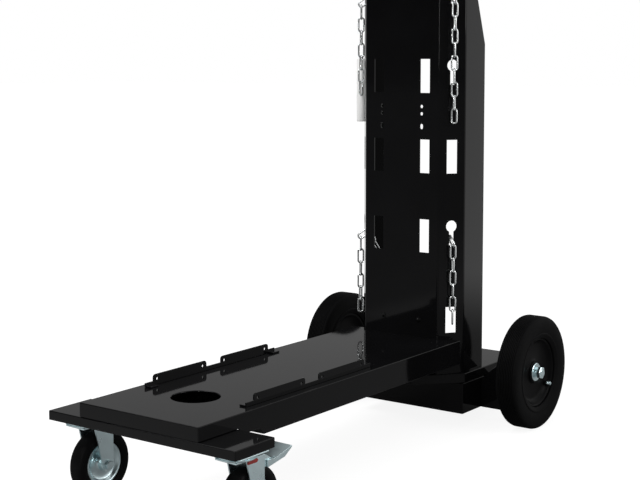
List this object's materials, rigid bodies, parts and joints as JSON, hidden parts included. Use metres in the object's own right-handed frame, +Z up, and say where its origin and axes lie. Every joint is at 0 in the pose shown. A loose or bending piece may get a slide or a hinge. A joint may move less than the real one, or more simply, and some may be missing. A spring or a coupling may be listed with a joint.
{
  "type": "welding cart",
  "caption": "Black folded-steel welding cart with a flat tray, a slotted cylinder tower with hanging chains, a cylinder shelf between large rear wheels and swivel casters in front.",
  "frame": {"origin": "on the floor, at the bottom centre of the object's box", "axes": "+X to the right as seen from the front, +Y from the front crossbar to the cylinder shelf at the back, +Z up"},
  "size_m": [0.5684, 1.15, 1.0975],
  "materials": {
    "black_paint": "gloss powder coat",
    "zinc_steel": "bright zinc plate",
    "chain_steel": "bright zinc plate",
    "black_plastic": "satin moulded",
    "tyre_rubber": "matte rubber",
    "caster_rubber": "matte rubber",
    "pale_plastic": "satin",
    "red_plastic": "satin moulded"
  },
  "bodies": {
    "frame": {"crossbar": "black_paint", "tray": "black_paint", "tray_stiffener": "black_paint", "guide_rail_left": "black_paint", "guide_rail_right": "black_paint", "tower": "black_paint", "push_handle": "black_paint", "cylinder_shelf": "black_paint", "shelf_base": "black_paint", "axle_bracket_left": "black_paint", "axle_bracket_right": "black_paint", "rod_holder_tube": "pale_plastic", "stub_axle_left": "zinc_steel", "stub_axle_right": "zinc_steel", "axle_nut_left": "zinc_steel", "axle_nut_right": "zinc_steel", "caster_plate_left": "zinc_steel", "caster_plate_right": "zinc_steel", "caster_race_left": "zinc_steel", "caster_race_right": "zinc_steel", "chain_strand_upper": "chain_steel", "chain_strand_lower": "chain_steel"},
    "rear_wheel_left": {"rear_hub_left": "black_plastic", "rear_tyre_left": "tyre_rubber"},
    "rear_wheel_right": {"rear_hub_right": "black_plastic", "rear_tyre_right": "tyre_rubber"},
    "caster_swivel_left": {"caster_fork_left": "zinc_steel", "caster_axle_left": "zinc_steel"},
    "caster_wheel_left": {"caster_hub_left": "zinc_steel", "caster_tyre_left": "caster_rubber"},
    "caster_swivel_right": {"caster_fork_right": "zinc_steel", "caster_axle_right": "zinc_steel", "brake_cap": "red_plastic"},
    "caster_wheel_right": {"caster_hub_right": "zinc_steel", "caster_tyre_right": "caster_rubber"},
    "brake": {"brake_pedal": "zinc_steel"},
    "upper_right_tail": {"chain_tail_upper_right": "chain_steel"},
    "upper_left_tail": {"chain_tail_upper_left": "chain_steel"},
    "lower_right_tail": {"chain_tail_lower_right": "chain_steel"},
    "lower_left_tail": {"chain_tail_lower_left": "chain_steel"}
  },
  "joints": [
    {"name": "rear_wheel_left_spin", "type": "hinge", "parent": "frame", "child": "rear_wheel_left", "pos_m": [-0.256, 0.414, 0.125], "axis": [1, 0, 0], "continuous": true},
    {"name": "rear_wheel_right_spin", "type": "hinge", "parent": "frame", "child": "rear_wheel_right", "pos_m": [0.256, 0.414, 0.125], "axis": [1, 0, 0], "continuous": true},
    {"name": "caster_left_swivel", "type": "hinge", "parent": "frame", "child": "caster_swivel_left", "pos_m": [-0.181, -0.523, 0.14], "axis": [0, 0, 1], "continuous": true},
    {"name": "caster_left_spin", "type": "hinge", "parent": "caster_swivel_left", "child": "caster_wheel_left", "pos_m": [-0.17927, -0.49005, 0.0625], "axis": [0.9986, -0.0523, 0], "continuous": true},
    {"name": "caster_right_swivel", "type": "hinge", "parent": "frame", "child": "caster_swivel_right", "pos_m": [0.181, -0.523, 0.14], "axis": [0, 0, 1], "continuous": true},
    {"name": "caster_right_spin", "type": "hinge", "parent": "caster_swivel_right", "child": "caster_wheel_right", "pos_m": [0.18273, -0.49005, 0.0625], "axis": [0.9986, -0.0523, 0], "continuous": true},
    {"name": "brake_press", "type": "hinge", "parent": "caster_swivel_right", "child": "brake", "pos_m": [0.18404, -0.46508, 0.1281], "axis": [0.9986, -0.0523, 0], "range_deg": [-27, 0]},
    {"name": "upper_right_tail_swing", "type": "hinge", "parent": "frame", "child": "upper_right_tail", "pos_m": [0.12268, 0.29391, 0.93493], "axis": [0.7962, -0.6051, 0], "range_deg": [-30, 30]},
    {"name": "upper_left_tail_swing", "type": "hinge", "parent": "frame", "child": "upper_left_tail", "pos_m": [-0.12268, 0.29391, 0.93493], "axis": [-0.7962, -0.6051, 0], "range_deg": [-6, 30]},
    {"name": "lower_right_tail_swing", "type": "hinge", "parent": "frame", "child": "lower_right_tail", "pos_m": [0.12268, 0.29391, 0.40543], "axis": [0.7962, -0.6051, 0], "range_deg": [-30, 30]},
    {"name": "lower_left_tail_swing", "type": "hinge", "parent": "frame", "child": "lower_left_tail", "pos_m": [-0.12268, 0.29391, 0.40543], "axis": [-0.7962, -0.6051, 0], "range_deg": [-30, 30]}
  ]
}
